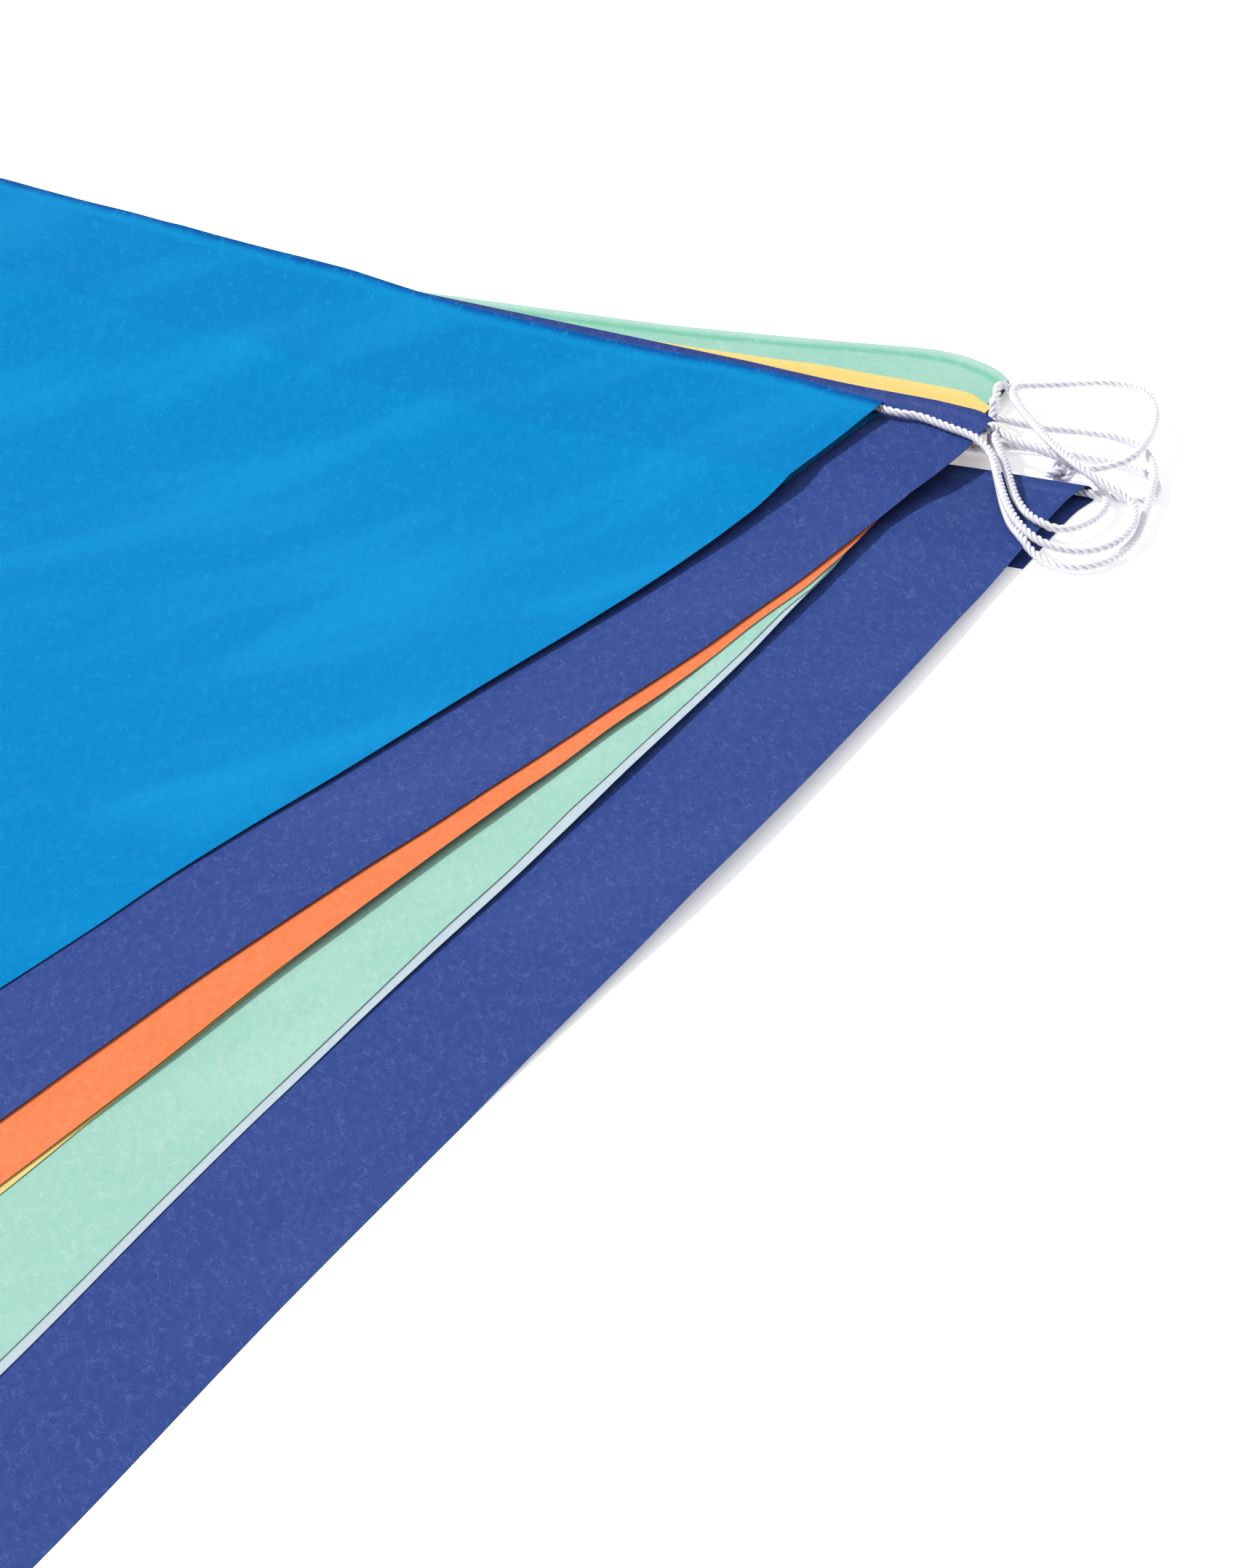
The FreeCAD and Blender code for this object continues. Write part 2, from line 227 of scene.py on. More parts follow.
class Flag:
    """One hemmed sheet: its plan, and the heights of its hem, flap and panel as it lies."""

    def __init__(self, node, turn, bow, edge, lift, reach, slip, creases):
        low, high = node_box(node)
        self.node = node
        self.bow = bow
        self.edge = edge
        self.lift = lift
        self.reach = reach
        self.slip = slip
        self.creases = creases
        self.cosine = math.cos(math.radians(turn))
        self.sine = math.sin(math.radians(turn))
        self.x = high.x - max(0.0, self.sine) * FLAG_DROP
        self.y = high.y + min(0.0, self.sine) * FLAG_WIDTH
        self.along = np.arange(0, FLAG_WIDTH + ALONG_STEP / 2, ALONG_STEP)
        self.inward = HEM_RADIUS + np.arange(0, FLAG_DROP - HEM_RADIUS + INWARD_STEP / 2, INWARD_STEP)
        self.inward[-1] = FLAG_DROP
        self.flap_inward = self.inward[self.inward < HEM_FLAP]

    def shifts(self, along, inward):
        """How far the bowed hem and the bent edge move a place of the sheet, outwards and right."""
        out = curve_through(self.bow, along) * np.exp(-(inward / BOW_REACH) ** 2)
        right = curve_through(self.edge, inward) * np.exp(-along / EDGE_REACH)
        return out, right

    def plan(self, along, inward):
        out, right = self.shifts(along, inward)
        local_x = right - along
        local_y = out - inward
        return (self.x + local_x * self.cosine - local_y * self.sine,
                self.y + local_x * self.sine + local_y * self.cosine)

    def place_on(self, x, y):
        """Distances along and inward of the hem for places of the frame."""
        local_x = (x - self.x) * self.cosine + (y - self.y) * self.sine
        local_y = (y - self.y) * self.cosine - (x - self.x) * self.sine
        along, inward = -local_x, -local_y
        for _ in range(PLACING_ROUNDS):
            out, right = self.shifts(np.clip(along, 0, FLAG_WIDTH), np.clip(inward, 0, FLAG_DROP))
            along, inward = right - local_x, out - local_y
        return along, inward

    def read(self, grid, along, inward):
        """A value of the panel's grid at places between its points."""
        a = np.clip(along / ALONG_STEP, 0, len(self.along) - 1.001)
        s = np.clip((inward - HEM_RADIUS) / INWARD_STEP, 0, grid.shape[1] - 1.001)
        i, j = a.astype(int), s.astype(int)
        fa, fs = a - i, s - j
        return ((grid[i, j] * (1 - fa) + grid[i + 1, j] * fa) * (1 - fs)
                + (grid[i, j + 1] * (1 - fa) + grid[i + 1, j + 1] * fa) * fs)

    def top(self, x, y):
        """Height of the upper surface over places of the frame, and the floor's beside the sheet."""
        along, inward = self.place_on(x, y)
        inside = ((along > -EDGE_MARGIN) & (along < FLAG_WIDTH + EDGE_MARGIN)
                  & (inward > -EDGE_MARGIN) & (inward < FLAG_DROP + EDGE_MARGIN))
        return np.where(inside, self.read(self.panel, along, inward) + PAPER / 2, 0.0)

    def support(self, lower, along, inward, beside):
        """Highest surface under each place of the sheet and close beside it."""
        a, s = np.meshgrid(along, inward, indexing="ij")
        highest = np.zeros_like(a)
        for da in (-beside, 0.0, beside):
            for ds in (-beside, 0.0, beside):
                x, y = self.plan(np.clip(a + da, 0, FLAG_WIDTH), np.clip(s + ds, 0, FLAG_DROP))
                for flag in lower:
                    highest = np.maximum(highest, flag.top(x, y))
        return np.where(highest > 0, highest + LAYER_GAP, PAPER / 2)

    def raised(self):
        """How far the curled right edge and the soft creases stand up from what is below."""
        a, s = np.meshgrid(self.along, self.inward, indexing="ij")
        total = curve_through(self.lift, s) * np.exp(-(a / self.reach) ** 2)
        for (a0, s0), (a1, s1), width, height in self.creases:
            da, ds = a1 - a0, s1 - s0
            t = np.clip(((a - a0) * da + (s - s0) * ds) / (da * da + ds * ds), 0, 1)
            away = np.hypot(a - a0 - t * da, s - s0 - t * ds)
            along_crease = np.sin(np.pi * np.clip(t, CREASE_END, 1 - CREASE_END)) ** 0.5
            total += height * np.exp(-(away / width) ** 2) * along_crease
        return total

    def lie_on(self, lower):
        """Lays the hem, then the flap, then the panel on the flags underneath."""
        across = np.linspace(0, 2 * HEM_RADIUS, HEM_PLACES)
        under_hem = self.support(lower, self.along, across, 0.0).max(axis=1)
        base = under_hem.copy()
        for _ in range(HEM_STEPS):
            ring = np.pad(base, 1, mode="edge")
            base = np.maximum(under_hem, (ring[2:] + ring[:-2]) / 2 - HEM_SAG)
        self.base = base
        under_flap = self.support(lower, self.along, self.flap_inward, PANEL_MARGIN)
        self.flap = settle(under_flap, base)
        under_panel = self.support(lower, self.along, self.inward, PANEL_MARGIN)
        rows = len(self.flap_inward)
        under_panel[:, :rows] = np.maximum(under_panel[:, :rows], self.flap + PAPER + FOLD_GAP)
        self.panel = settle(under_panel + self.raised(), base + 2 * HEM_RADIUS)

    def cord_line(self, step=HEM_CORD_STEP):
        """Middle of the cord inside the hem, from its right end to its left."""
        along = np.arange(0, FLAG_WIDTH + step / 2, step)
        x, y = self.plan(along, np.full_like(along, HEM_RADIUS))
        return np.column_stack([x, y, np.interp(along, self.along, self.base) + HEM_RADIUS])


def sheet_mesh(flag, material):
    """The folded sheet as one strip of rows: flap, round the cord, then the panel to its lower edge."""
    radius = HEM_RADIUS - PAPER / 2
    along = np.concatenate([NEAR_COLUMNS, np.arange(NEAR_COLUMNS[-1] + ALONG_STEP, FLAG_WIDTH, ALONG_STEP),
                            [FLAG_WIDTH]])
    base = np.interp(along, flag.along, flag.base)
    rows = []
    for k in range(len(flag.flap_inward) - 1, 0, -1):
        inward = np.full_like(along, flag.flap_inward[k])
        rows.append((inward, flag.read(flag.flap, along, inward), -flag.flap_inward[k], flag.slip))
    for k in range(HEM_ARC_STEPS + 1):
        angle = math.pi * (k / HEM_ARC_STEPS - 0.5)
        inward = np.full_like(along, HEM_RADIUS - radius * math.cos(angle))
        rows.append((inward, base + HEM_RADIUS + radius * math.sin(angle), radius * angle,
                     flag.slip * (1 - k / HEM_ARC_STEPS)))
    for k in range(1, len(flag.inward)):
        if flag.inward[k] > COARSE_FROM and k % 2 and k < len(flag.inward) - 1:
            continue
        inward = np.full_like(along, flag.inward[k])
        rows.append((inward, flag.read(flag.panel, along, inward), flag.inward[k], 0.0))
    points, marks = [], []
    for inward, height, distance, slip in rows:
        x, y = flag.plan(along, inward)
        shift = slip * np.exp(-along / EDGE_REACH)
        points.append(np.column_stack([x + shift * flag.cosine, y + shift * flag.sine, height]))
        marks.append(np.column_stack([along, np.full_like(along, distance)]))
    columns = len(along)
    corners = np.concatenate(points) * MM
    faces = []
    for r in range(len(rows) - 1):
        for c in range(columns - 1):
            a = r * columns + c
            faces.append((a, a + 1, a + columns + 1, a + columns))
    mesh = bpy.data.meshes.new(flag.node.replace("flag", "sheet"))
    mesh.from_pydata(corners.tolist(), [], faces)
    layer = mesh.uv_layers.new(name="sheet")
    flat_marks = np.concatenate(marks) * MM
    order = np.array(faces).reshape(-1)
    layer.data.foreach_set("uv", flat_marks[order].reshape(-1))
    sheet = bpy.data.objects.new(flag.node.replace("flag", "sheet"), mesh)
    bpy.context.collection.objects.link(sheet)
    mesh.materials.append(material)
    finish_sheet(sheet)
    return sheet


def finish_sheet(sheet):
    """Gives the sheet its thickness and smooth faces."""
    bpy.ops.object.select_all(action="DESELECT")
    bpy.context.view_layer.objects.active = sheet
    sheet.select_set(True)
    thickness = sheet.modifiers.new("thickness", "SOLIDIFY")
    thickness.thickness = PAPER * MM
    thickness.offset = 0
    bpy.ops.object.modifier_apply(modifier=thickness.name)
    bpy.ops.object.shade_smooth_by_angle(angle=math.radians(SMOOTH_ANGLE))
    sheet.select_set(False)


def group_with(name, inputs, outputs):
    """An empty shader group with named sockets, and its input and output nodes."""
    group = bpy.data.node_groups.new(name, "ShaderNodeTree")
    for socket, kind, value in inputs:
        made = group.interface.new_socket(socket, in_out="INPUT", socket_type=kind)
        if value is not None:
            made.default_value = value
    for socket, kind in outputs:
        group.interface.new_socket(socket, in_out="OUTPUT", socket_type=kind)
    return group, group.nodes.new("NodeGroupInput"), group.nodes.new("NodeGroupOutput")


def math_node(tree, operation, first, second=None):
    node = tree.nodes.new("ShaderNodeMath")
    node.operation = operation
    for socket, value in zip(node.inputs, (first, second)):
        if isinstance(value, bpy.types.NodeSocket):
            tree.links.new(value, socket)
        elif value is not None:
            socket.default_value = value
    return node.outputs[0]


def smooth_range(tree, value, low, high):
    """0 below low, 1 above high and a soft step between."""
    node = tree.nodes.new("ShaderNodeMapRange")
    node.interpolation_type = "SMOOTHSTEP"
    node.inputs["From Min"].default_value = low
    node.inputs["From Max"].default_value = high
    tree.links.new(value, node.inputs["Value"])
    return node.outputs["Result"]


def noise(tree, vector, scale, detail=2.0, roughness=0.5):
    node = tree.nodes.new("ShaderNodeTexNoise")
    node.inputs["Scale"].default_value = scale
    node.inputs["Detail"].default_value = detail
    node.inputs["Roughness"].default_value = roughness
    tree.links.new(vector, node.inputs["Vector"])
    return node.outputs["Fac"]


def stretched(tree, vector, turn, length):
    """The vector turned and shortened along one direction, so that a texture becomes streaks."""
    mapping = tree.nodes.new("ShaderNodeMapping")
    mapping.vector_type = "TEXTURE"
    mapping.inputs["Rotation"].default_value = (0, 0, math.radians(turn))
    mapping.inputs["Scale"].default_value = (length, 1.0, 1.0)
    tree.links.new(vector, mapping.inputs["Vector"])
    return mapping.outputs["Vector"]


def hairs(tree, vector, scale, width):
    """Thin curling lines: the middle values of a soft noise."""
    value = noise(tree, vector, scale, 1.0)
    value.node.inputs["Distortion"].default_value = 1.2
    away = math_node(tree, "ABSOLUTE", math_node(tree, "SUBTRACT", value, 0.5))
    return math_node(tree, "SUBTRACT", 1.0, smooth_range(tree, away, 0.0, width))


def paper_group():
    """Soft streaks, partly the paper's cloudy formation and partly painted sheen of light on wrinkles, fine
    mottling and short pale fibres of tissue paper, from sheet coordinates.
    """
    group, given, made = group_with("tissue_formation", [("Vector", "NodeSocketVector", None)], [
        ("CloudAndSheen", "NodeSocketFloat"), ("Mottle", "NodeSocketFloat"), ("Fibres", "NodeSocketFloat"),
        ("Height", "NodeSocketFloat")])
    vector = given.outputs["Vector"]
    # Long soft streaks: the paper's cloudy formation, with painted sheen where light would catch wrinkles.
    cloud_and_sheen = noise(group, stretched(group, vector, 75, 3.5), 75.0, 2.0, 0.5)
    vector = stretched(group, vector, -60, 2.2)
    mottle = noise(group, vector, 1500.0, 3.0, 0.6)
    fine = math_node(group, "MULTIPLY", hairs(group, vector, 1400.0, 0.06),
                     smooth_range(group, noise(group, vector, 900.0, 1.0), 0.42, 0.6))
    long = math_node(group, "MULTIPLY", hairs(group, vector, 520.0, 0.012),
                     smooth_range(group, noise(group, vector, 640.0, 1.0), 0.56, 0.66))
    fibres = math_node(group, "MAXIMUM", fine, long)
    height = math_node(group, "ADD", math_node(group, "MULTIPLY", mottle, 0.6),
                       math_node(group, "MULTIPLY", fibres, 0.4))
    for name, value in (("CloudAndSheen", cloud_and_sheen), ("Mottle", mottle), ("Fibres", fibres), ("Height", height)):
        group.links.new(value, made.inputs[name])
    return group


def hem_group():
    """Masks of the hem over the cord, whose double layer carries painted shade, of the painted light along
    the crease beside it, and of the flap's double layer.
    """
    group, given, made = group_with("hem_marks", [("Vector", "NodeSocketVector", None)], [
        ("Hem", "NodeSocketFloat"), ("CreaseLight", "NodeSocketFloat"), ("Flap", "NodeSocketFloat")])
    parts = group.nodes.new("ShaderNodeSeparateXYZ")
    group.links.new(given.outputs["Vector"], parts.inputs["Vector"])
    wander = math_node(group, "MULTIPLY_ADD", noise(group, given.outputs["Vector"], 90.0), 0.0012)
    wander.node.inputs[2].default_value = -0.0006
    inward = math_node(group, "ADD", parts.outputs["Y"], wander)
    # The hem band is the double layer over the cord, with painted shade on most tissues and a paler painted
    # glow on mint and yellow.
    hem = math_node(group, "SUBTRACT", 1.0, smooth_range(group, inward, 0.0012, 0.0021))
    hem = math_node(group, "MULTIPLY", hem, smooth_range(group, inward, -0.0012, -0.0006))
    # The crease band is a painted highlight along the fold beside the hem, painted shade on mint and yellow.
    crease_light = math_node(group, "MULTIPLY", smooth_range(group, inward, 0.0019, 0.0025),
                       math_node(group, "SUBTRACT", 1.0, smooth_range(group, inward, 0.0028, 0.0038)))
    flap = math_node(group, "MULTIPLY", smooth_range(group, inward, 0.0010, 0.0020),
                     math_node(group, "SUBTRACT", 1.0, smooth_range(group, inward, 0.0202, 0.0208)))
    for name, value in (("Hem", hem), ("CreaseLight", crease_light), ("Flap", flap)):
        group.links.new(value, made.inputs[name])
    return group


def blend_colour(tree, amount, first, second):
    node = tree.nodes.new("ShaderNodeMix")
    node.data_type = "RGBA"
    for socket, value in ((node.inputs["Factor"], amount), (node.inputs[6], first), (node.inputs[7], second)):
        if isinstance(value, bpy.types.NodeSocket):
            tree.links.new(value, socket)
        else:
            socket.default_value = value
    return node.outputs[2]


LIGHT_LEVEL = 1.5


def linear(red, green, blue):
    """A colour under the scene's light from screen values of 0 to 255."""
    values = [v / 255 for v in (red, green, blue)]
    values = [v / 12.92 if v <= 0.04045 else ((v + 0.055) / 1.055) ** 2.4 for v in values]
    return [v / LIGHT_LEVEL for v in values] + [1.0]


# Screen colours of each tissue: plain, the hem over the cord with its painted shade (a paler painted glow
# on mint and yellow), the painted highlight along the crease beside it (painted shade on mint and yellow),
# pale fibres that also tint the painted sheen of the streaks, and deep mottling; and how strongly the
# hem, the crease's painted light, the streaks and the fibres show.
TISSUES = {
    "flag_navy_bottom": ((58, 80, 150), (44, 62, 130), (80, 100, 168), (104, 124, 188), (44, 64, 132),
                         0.4, 0.4, 0.08, 0.35),
    "flag_pale_blue": ((203, 221, 230), (176, 200, 214), (222, 234, 240), (228, 238, 243), (186, 208, 220),
                       0.5, 0.3, 0.1, 0.3),
    "flag_mint": ((170, 220, 203), (196, 236, 222), (118, 204, 170), (206, 240, 228), (146, 208, 186),
                  0.7, 0.75, 0.25, 0.35),
    "flag_yellow": ((252, 226, 138), (252, 230, 142), (246, 206, 106), (255, 240, 180), (246, 212, 118),
                    0.6, 0.2, 0.1, 0.3),
    "flag_orange": ((255, 138, 88), (240, 96, 70), (255, 150, 104), (255, 172, 126), (244, 120, 72),
                    0.6, 0.2, 0.1, 0.3),
    "flag_navy_upper": ((58, 80, 150), (46, 62, 134), (84, 98, 160), (104, 124, 188), (44, 64, 132),
                        0.5, 0.3, 0.08, 0.35),
    "flag_blue": ((0, 139, 207), (0, 82, 166), (8, 148, 214), (18, 160, 224), (0, 122, 196),
                  0.9, 0.7, 0.6, 0.6),
}
TISSUE_SLOTS = {node: node.replace("flag_", "") + "_tissue" for node in TISSUES}
TISSUE_SLOTS["flag_navy_bottom"] = TISSUE_SLOTS["flag_navy_upper"] = "navy_tissue"


def tissue(node, formation, hem_marks):
    plain, hem_layers_and_light, crease_painted_light, pale, deep, hem_share, crease_light_share, streak_sheen_share, fibre_share = TISSUES[node]
    material = bpy.data.materials.new(node.replace("flag", "tissue"))
    material.use_nodes = True
    tree = material.node_tree
    shader = tree.nodes["Principled BSDF"]
    place = tree.nodes.new("ShaderNodeUVMap")
    place.uv_map = "sheet"
    paper = tree.nodes.new("ShaderNodeGroup")
    paper.node_tree = formation
    marks = tree.nodes.new("ShaderNodeGroup")
    marks.node_tree = hem_marks
    tree.links.new(place.outputs["UV"], paper.inputs["Vector"])
    tree.links.new(place.outputs["UV"], marks.inputs["Vector"])
    mottle = paper.outputs["Mottle"]
    colour = linear(*plain)
    for mask, share, tint in (
            # Streaks of formation and painted sheen, strongest on the blue flag.
            (smooth_range(tree, paper.outputs["CloudAndSheen"], 0.45, 0.7), streak_sheen_share, pale),
            (smooth_range(tree, mottle, 0.5, 0.72), 0.16, pale),
            (smooth_range(tree, mottle, 0.5, 0.3), 0.3, deep),
            (marks.outputs["Flap"], 0.25, deep),
            # Hem over the cord: its double layer with painted shade, a paler painted glow on mint and yellow.
            (marks.outputs["Hem"], hem_share, hem_layers_and_light),
            # Painted highlight along the crease beside the hem, painted shade on mint and yellow.
            (marks.outputs["CreaseLight"], crease_light_share, crease_painted_light),
            (paper.outputs["Fibres"], fibre_share, pale)):
        colour = blend_colour(tree, math_node(tree, "MULTIPLY", mask, share), colour, linear(*tint))
    tree.links.new(colour, shader.inputs["Base Color"])
    rough = math_node(tree, "MULTIPLY_ADD", paper.outputs["Mottle"], 0.2)
    rough.node.inputs[2].default_value = 0.55
    tree.links.new(rough, shader.inputs["Roughness"])
    bump = tree.nodes.new("ShaderNodeBump")
    bump.inputs["Strength"].default_value = 0.35
    bump.inputs["Distance"].default_value = 0.00006
    tree.links.new(paper.outputs["Height"], bump.inputs["Height"])
    tree.links.new(bump.outputs["Normal"], shader.inputs["Normal"])
    shader.inputs["Specular IOR Level"].default_value = 0.02
    return material


def nylon():
    material = bpy.data.materials.new("nylon_cord")
    material.use_nodes = True
    tree = material.node_tree
    shader = tree.nodes["Principled BSDF"]
    place = tree.nodes.new("ShaderNodeTexCoord")
    soft = smooth_range(tree, noise(tree, place.outputs["Object"], 260.0, 2.0), 0.35, 0.65)
    colour = blend_colour(tree, soft, (0.76, 0.76, 0.83, 1), (0.68, 0.67, 0.77, 1))
    tree.links.new(colour, shader.inputs["Base Color"])
    fine = noise(tree, place.outputs["Object"], 5200.0, 1.0)
    rough = math_node(tree, "MULTIPLY_ADD", fine, 0.2)
    rough.node.inputs[2].default_value = 0.3
    tree.links.new(rough, shader.inputs["Roughness"])
    bump = tree.nodes.new("ShaderNodeBump")
    bump.inputs["Strength"].default_value = 0.25
    bump.inputs["Distance"].default_value = 0.00004
    tree.links.new(fine, bump.inputs["Height"])
    tree.links.new(bump.outputs["Normal"], shader.inputs["Normal"])
    shader.inputs["Specular IOR Level"].default_value = 0.5
    shader.inputs["Subsurface Weight"].default_value = 0.8
    shader.inputs["Subsurface Radius"].default_value = (1.0, 0.97, 1.0)
    shader.inputs["Subsurface Scale"].default_value = 0.0008
    return material


def smooth_route(points):
    """Points read from the smooth line that a route's points control, in millimetres."""
    curve = bpy.data.curves.new("route", "CURVE")
    curve.dimensions = "3D"
    curve.resolution_u = ROUTE_RESOLUTION
    spline = curve.splines.new("NURBS")
    spline.points.add(len(points) - 1)
    for place, point in zip(spline.points, points):
        place.co = (*point, 1)
    spline.order_u = 3
    spline.use_endpoint_u = True
    holder = bpy.data.objects.new("route", curve)
    mesh = bpy.data.meshes.new_from_object(holder)
    line = np.array([v.co for v in mesh.vertices])
    bpy.data.objects.remove(holder)
    bpy.data.curves.remove(curve)
    bpy.data.meshes.remove(mesh)
    return line


def evenly(line, step):
    """The same line with its points a fixed step apart."""
    lengths = np.concatenate([[0], np.cumsum(np.linalg.norm(np.diff(line, axis=0), axis=1))])
    count = max(2, int(round(lengths[-1] / step)) + 1)
    at = np.linspace(0, lengths[-1], count)
    return np.column_stack([np.interp(at, lengths, line[:, k]) for k in range(3)])


def laid(path, lower):
    """The path, lifted where it would sink into the sheets under it, but not at its two ends."""
    for _ in range(LAYING_ROUNDS):
        x, y = path[:, 0], path[:, 1]
        surface = np.max([flag.top(x, y) for flag in lower], axis=0) + CORD_DIAMETER / 2
        lengths = np.concatenate([[0], np.cumsum(np.linalg.norm(np.diff(path, axis=0), axis=1))])
        from_end = np.minimum(lengths, lengths[-1] - lengths)
        wanted = np.maximum(surface - path[:, 2], 0) * np.clip((from_end - LAYING_END) / LAYING_FADE, 0, 1)
        smooth = np.convolve(np.pad(wanted, LAYING_REACH, mode="edge"), LAYING_KERNEL, mode="valid")
        rise = np.maximum(smooth, wanted * LAYING_SHARE) * (from_end > LAYING_END)
        path = path + np.column_stack([0 * x, 0 * x, rise])
    return path


def twisted_cord(name, line, step, material):
    """Strands laid round one another along a line."""
    path = evenly(line, step)
    tangents = np.gradient(path, axis=0)
    tangents /= np.linalg.norm(tangents, axis=1)[:, None]
    side = np.cross(tangents[0], (0, 0, 1.0))
    side /= np.linalg.norm(side)
    sides = []
    for tangent in tangents:
        side = side - tangent * side.dot(tangent)
        side /= np.linalg.norm(side)
        sides.append(side)
    sides = np.array(sides)
    ups = np.cross(tangents, sides)
    lengths = np.concatenate([[0], np.cumsum(np.linalg.norm(np.diff(path, axis=0), axis=1))])
    corners, faces = [], []
    for strand in range(STRANDS):
        turn = 2 * math.pi * (lengths / TWIST_LENGTH + strand / STRANDS)
        centre = path + STRAND_REACH * (sides * np.cos(turn)[:, None] + ups * np.sin(turn)[:, None])
        first = len(corners)
        for k in range(len(path)):
            for side_number in range(STRAND_SIDES):
                angle = turn[k] + 2 * math.pi * side_number / STRAND_SIDES
                around = sides[k] * math.cos(angle) + ups[k] * math.sin(angle)
                corners.append(centre[k] + STRAND_RADIUS * around)
        for k in range(len(path) - 1):
            for n in range(STRAND_SIDES):
                a = first + k * STRAND_SIDES + n
                b = first + k * STRAND_SIDES + (n + 1) % STRAND_SIDES
                faces.append((a, b, b + STRAND_SIDES, a + STRAND_SIDES))
        last = first + (len(path) - 1) * STRAND_SIDES
        faces.append(tuple(first + n for n in reversed(range(STRAND_SIDES))))
        faces.append(tuple(last + n for n in range(STRAND_SIDES)))
    mesh = bpy.data.meshes.new(name)
    mesh.from_pydata((np.array(corners) * MM).tolist(), [], faces)
    cord = bpy.data.objects.new(name, mesh)
    bpy.context.collection.objects.link(cord)
    mesh.materials.append(material)
    for face in mesh.polygons:
        face.use_smooth = True
    return cord, path


# The cord's free stretches, as points measured from the right end of the bottom flag's hem. Each
# runs between the hem ends of two flags, or from one to the knot at the cord's end.
LOOPS = {
    "cord_loop_right_1": ("flag_pale_blue", "flag_navy_bottom", "right", [
        (-12.0, 8.6, 0.8), (-8.2, 9.0, 0.65), (-3.8, 9.0, 0.6), (0.6, 8.6, 0.6), (4.4, 6.6, 0.6),
        (6.4, 3.0, 0.6), (5.8, -0.6, 0.6)]),
    "cord_loop_right_2": ("flag_yellow", "flag_mint", "right", [
        (-13.8, 11.9, 2.3), (-11.2, 11.3, 2.1), (-8.3, 11.8, 1.9), (-4.6, 12.4, 1.9), (-0.7, 12.3, 1.9),
        (2.6, 10.1, 1.8), (5.1, 5.4, 1.7), (6.6, -0.3, 1.5), (7.9, -6.3, 1.2), (8.8, -11.3, 0.9),
        (8.2, -15.9, 0.7), (6.4, -19.3, 0.7), (3.4, -19.8, 0.8), (0.2, -18.3, 1.1), (-2.8, -14.7, 1.4),
        (-5.3, -10.1, 1.7), (-7.7, -4.9, 1.9), (-10.3, 0.6, 2.0), (-12.9, 6.7, 1.9), (-15.0, 13.0, 1.4),
        (-16.7, 18.7, 0.9), (-17.7, 21.6, 0.75)]),
    "cord_loop_right_3": ("flag_navy_upper", "flag_orange", "right", [
        (-11.9, 4.5, 3.3), (-9.7, 1.0, 3.0), (-7.0, -4.1, 2.7), (-4.5, -8.9, 2.3), (-1.4, -12.3, 1.8),
        (1.7, -13.0, 1.5), (3.3, -10.0, 1.3), (3.7, -6.0, 1.3), (2.9, -2.5, 1.5), (0.7, 0.3, 2.0),
        (-2.4, 2.0, 2.6), (-5.9, 3.1, 3.0), (-9.4, 4.1, 3.2)]),
    "cord_loop_left_1": ("flag_mint", "flag_pale_blue", "left", [
        (-232.0, 27.2, 0.65), (-236.6, 25.0, 0.6), (-239.2, 20.6, 0.6), (-239.6, 15.6, 0.6),
        (-237.0, 11.0, 0.6), (-232.4, 7.2, 0.6)]),
    "cord_loop_left_2": ("flag_orange", "flag_yellow", "left", [
        (-228.2, 23.8, 3.3), (-232.6, 23.4, 3.2), (-236.8, 25.2, 3.0), (-238.4, 29.0, 2.9),
        (-235.6, 32.0, 2.8), (-231.2, 31.6, 2.7)]),
    "cord_loop_left_3": ("flag_blue", "flag_navy_upper", "left", [
        (-234.7, 39.2, 1.6), (-238.4, 36.9, 1.6), (-239.5, 33.2, 1.5), (-237.4, 30.6, 1.4),
        (-233.5, 30.6, 1.3), (-229.6, 32.2, 1.2), (-226.3, 33.5, 1.2)]),
    "cord_tail_right": ("flag_blue", None, "right", [
        (-19.5, 3.4, 4.65), (-15.7, 1.8, 4.55), (-12.6, 0.7, 4.4), (-9.9, -1.4, 4.0), (-7.7, -5.8, 3.6),
        (-5.1, -10.8, 3.2), (-2.4, -14.9, 2.7), (0.6, -17.4, 2.1), (3.7, -17.8, 1.6), (6.5, -16.5, 1.5),
        (8.1, -13.1, 1.7), (8.0, -8.5, 2.1), (6.5, -5.5, 2.7), (3.6, -4.3, 3.4), (0.1, -2.8, 4.1),
        (-4.0, 1.2, 4.3), (-8.1, 6.5, 4.1), (-11.8, 12.1, 3.6), (-14.4, 16.7, 3.1), (-14.8, 19.7, 2.9),
        (-12.5, 20.6, 2.9), (-9.3, 22.2, 3.0), (-5.6, 24.1, 3.1), (-1.9, 22.7, 3.1), (1.2, 17.3, 3.1),
        (2.7, 10.7, 3.0), (2.6, 5.3, 2.6), (0.5, 3.6, 2.0), (-2.0, 3.2, 1.6), (-3.7, 2.0, 1.4)]),
    "cord_tail_left": ("flag_navy_bottom", None, "left", [
        (-218.0, -0.9, 0.7), (-226.0, -1.2, 0.6), (-233.0, -3.4, 0.6), (-238.4, -8.0, 0.6),
        (-240.6, -14.6, 0.6), (-239.4, -21.4, 1.1)]),
}


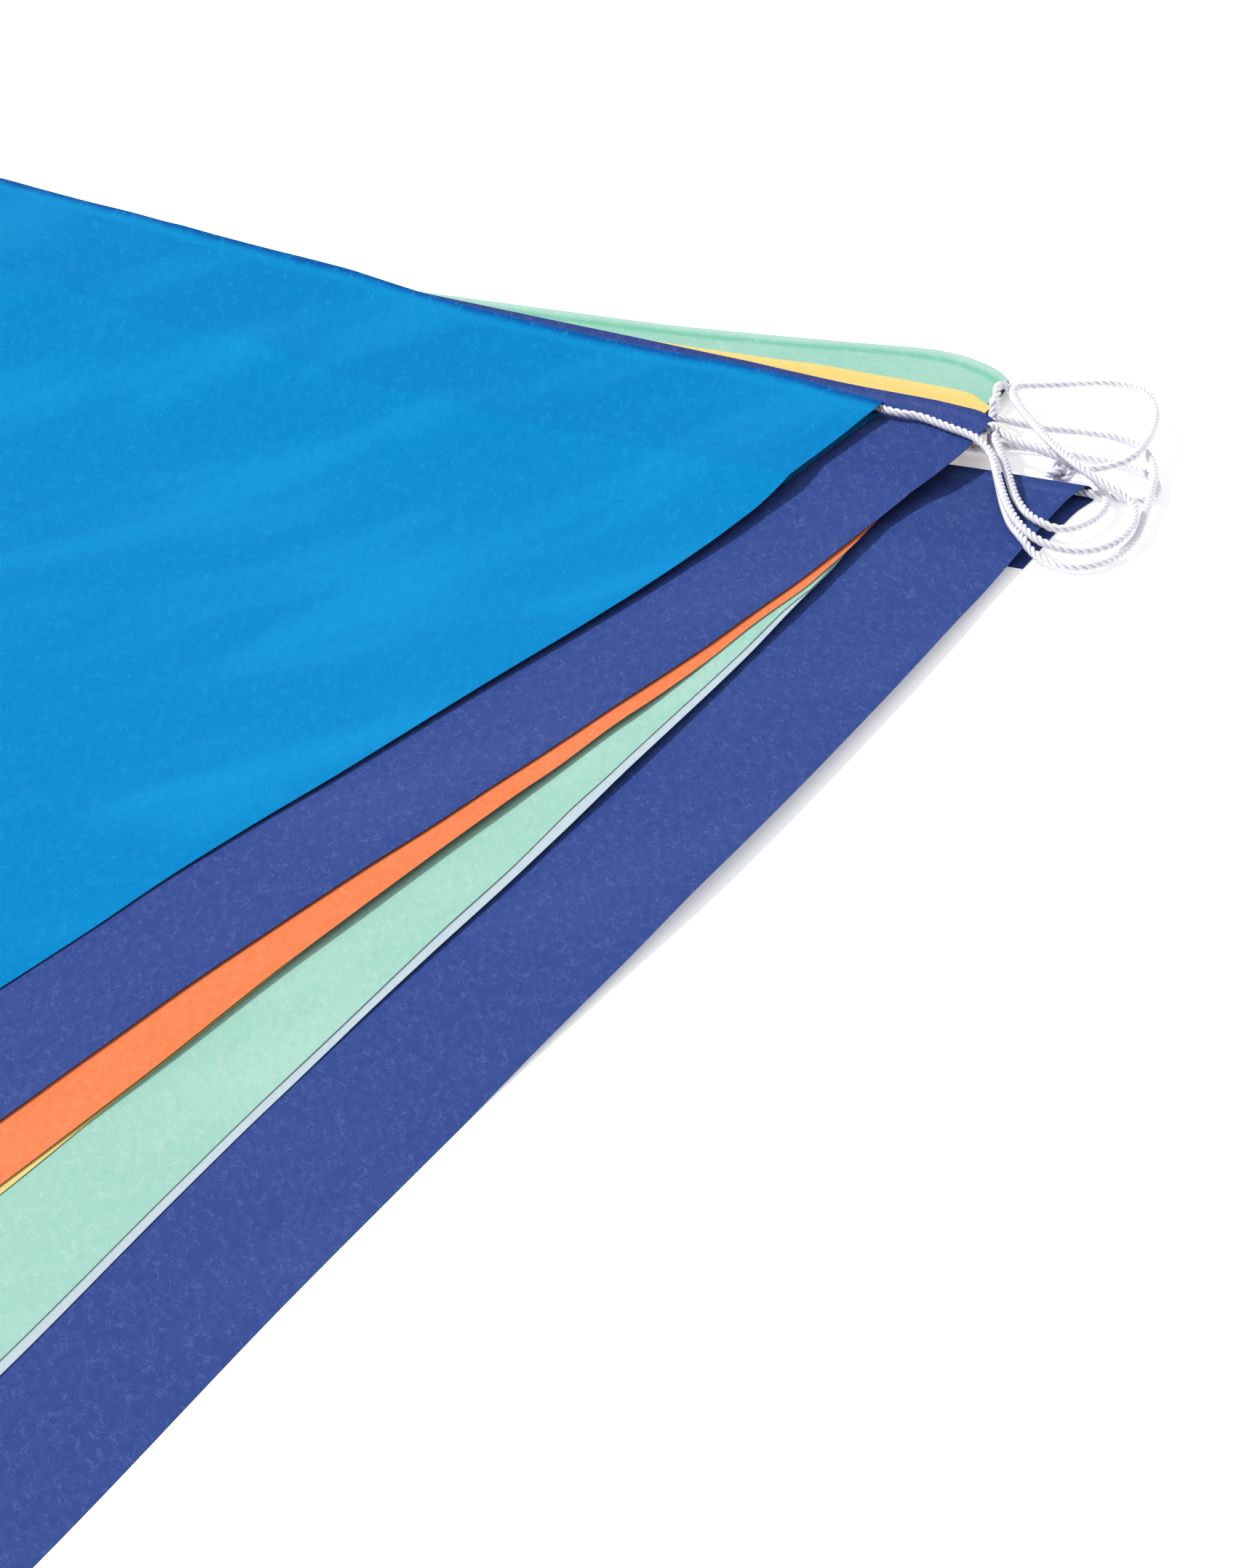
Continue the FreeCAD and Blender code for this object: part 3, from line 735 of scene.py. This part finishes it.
def knot(name, centre, direction, material):
    """A small tight overhand knot of the same strands at a free end of the cord."""
    turns = np.linspace(0, 2 * math.pi, KNOT_POINTS, endpoint=False)
    ring = KNOT_SIZE * (1 + KNOT_FULLNESS * np.cos(3 * turns))
    shape = np.column_stack([ring * np.cos(2 * turns), ring * np.sin(2 * turns),
                             KNOT_DEPTH * np.sin(3 * turns)])
    forward = Vector(direction).normalized()
    turned = np.array(forward.to_track_quat("X", "Z").to_matrix())
    path = shape[:-KNOT_OPENING] @ turned.T + np.array(centre)
    return twisted_cord(name, path, KNOT_STEP, material)[0]


def hem_exit(flag, side):
    """Where the cord leaves a hem, and a point straight out from there."""
    line = flag.cord_line()
    end, before = (line[0], line[1]) if side == "right" else (line[-1], line[-2])
    outward = (end - before) / np.linalg.norm(end - before)
    return [end, end + outward * EXIT_RUN]


def floor():
    """A pale surface that reaches past everything in view."""
    bpy.ops.object.select_all(action="DESELECT")
    bpy.ops.mesh.primitive_plane_add(size=FLOOR_SIZE, location=(0, 0, 0))
    surface = bpy.context.object
    surface.name = "floor"
    material = bpy.data.materials.new("pale_floor")
    material.use_nodes = True
    shader = material.node_tree.nodes["Principled BSDF"]
    shader.inputs["Base Color"].default_value = (FLOOR_GREY, FLOOR_GREY, FLOOR_GREY, 1)
    shader.inputs["Roughness"].default_value = 0.9
    shader.inputs["Emission Color"].default_value = (1, 1, 1, 1)
    shader.inputs["Emission Strength"].default_value = FLOOR_GLOW
    surface.data.materials.append(material)


def camera():
    azimuth = math.radians(CAMERA_AZIMUTH)
    elevation = math.radians(CAMERA_ELEVATION)
    backward = Vector((math.sin(azimuth) * math.cos(elevation), -math.cos(azimuth) * math.cos(elevation),
                       math.sin(elevation)))
    lens = bpy.data.cameras.new("camera")
    lens.lens = CAMERA_LENS
    lens.clip_start = CAMERA_CLIP
    holder = bpy.data.objects.new("camera", lens)
    bpy.context.collection.objects.link(holder)
    holder.location = (Vector(CAMERA_TARGET) + backward * CAMERA_DISTANCE) * MM
    holder.rotation_euler = backward.to_track_quat("Z", "Y").to_euler()
    bpy.context.scene.camera = holder


def lights():
    sun = bpy.data.lights.new("window_light", "SUN")
    sun.energy = SUN_ENERGY
    sun.angle = math.radians(SUN_SPREAD)
    holder = bpy.data.objects.new("window_light", sun)
    bpy.context.collection.objects.link(holder)
    view_azimuth = math.radians(CAMERA_AZIMUTH)
    towards_light = math.pi - SUN_OFFSET
    direction = view_azimuth + towards_light
    height = math.radians(SUN_HEIGHT)
    to_sun = Vector((math.cos(direction) * math.cos(height), math.sin(direction) * math.cos(height),
                     math.sin(height)))
    holder.rotation_euler = to_sun.to_track_quat("Z", "Y").to_euler()
    world = bpy.data.worlds.new("studio")
    world.use_nodes = True
    world.node_tree.nodes["Background"].inputs["Color"].default_value = (1, 1, 1, 1)
    world.node_tree.nodes["Background"].inputs["Strength"].default_value = SKY_STRENGTH
    bpy.context.scene.world = world
    bpy.context.scene.view_settings.view_transform = "Standard"


flags = {}
for values in FLAGS:
    flag = Flag(**values)
    flag.lie_on(list(flags.values()))
    flags[flag.node] = flag

white_nylon = nylon()
formation, hem_marks = paper_group(), hem_group()
for number, (node, flag) in enumerate(flags.items(), start=1):
    sheet = sheet_mesh(flag, tissue(node, formation, hem_marks))
    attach(sheet, "root")
    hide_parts(node)
    hem_cord, _ = twisted_cord("strands_in_hem_%d" % number, flag.cord_line(), HEM_STRAND_STEP, white_nylon)
    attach(hem_cord, "root")
    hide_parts("cord_in_hem_%d" % number)

order = list(flags)
for name, (first, last, side, points) in LOOPS.items():
    route = hem_exit(flags[first], side) + [np.array([CORNER[0] + x, CORNER[1] + y, z]) for x, y, z in points]
    if last:
        route += hem_exit(flags[last], side)[::-1]
    lower = [flags[node] for node in order[:order.index(first) + 1]]
    line = laid(evenly(smooth_route(route), ROUTE_STEP), lower)
    cord, path = twisted_cord(name.replace("cord", "strands"), line, FREE_STRAND_STEP, white_nylon)
    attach(cord, "root")
    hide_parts(name)
    ends = []
    if not last:
        ends = [knot("knot_strands_" + side, path[-1], path[-1] - path[-4], white_nylon)]
        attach(ends[0], "root")
        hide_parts("knot_" + side)

floor()
camera()
lights()
